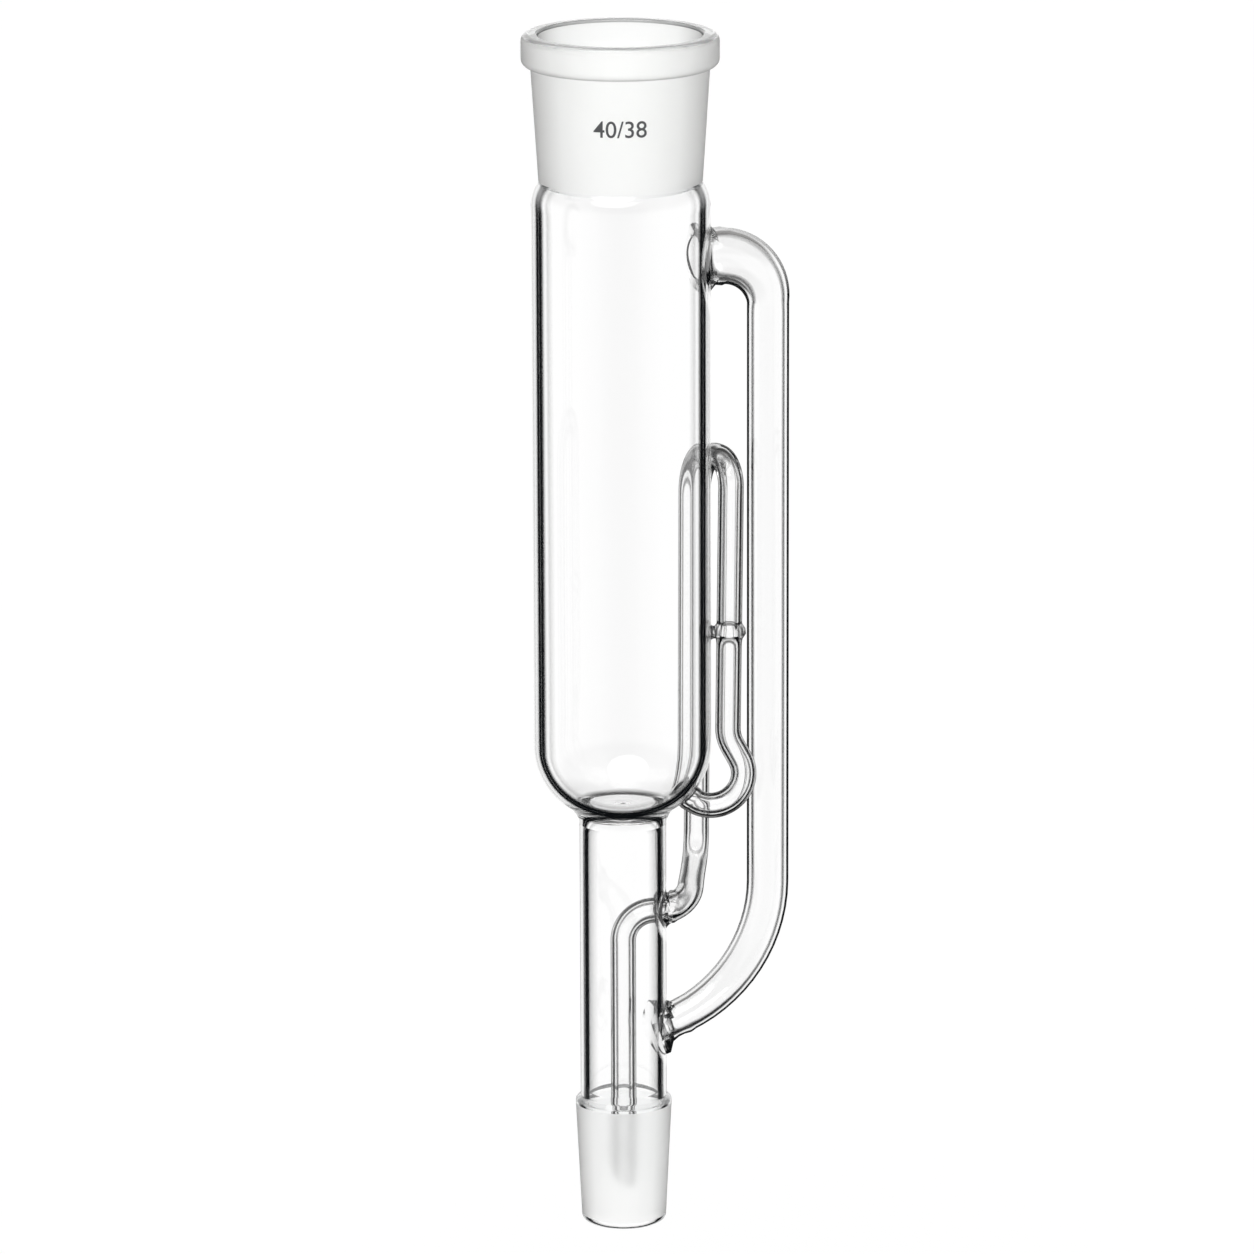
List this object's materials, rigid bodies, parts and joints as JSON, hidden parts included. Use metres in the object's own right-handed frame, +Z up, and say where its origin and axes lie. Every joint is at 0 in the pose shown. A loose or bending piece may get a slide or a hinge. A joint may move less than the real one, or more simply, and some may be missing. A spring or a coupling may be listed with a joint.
{
  "type": "soxhlet extractor",
  "caption": "Clear glass Soxhlet extractor: ground socket over a round-bottomed chamber, vapour side tube, siphon with drip tube, and a ground cone below.",
  "frame": {"origin": "on the main axis, in the plane where the ground cone is widest", "axes": "+Z up along the main axis, out of the socket's mouth; +X towards the vapour tube"},
  "size_m": [0.067, 0.0484, 0.3013],
  "materials": {
    "borosilicate_glass": "clear, flame worked; ground matt at the socket and the cone"
  },
  "bodies": {
    "root": {"extractor_body": "borosilicate_glass"}
  },
  "joints": []
}
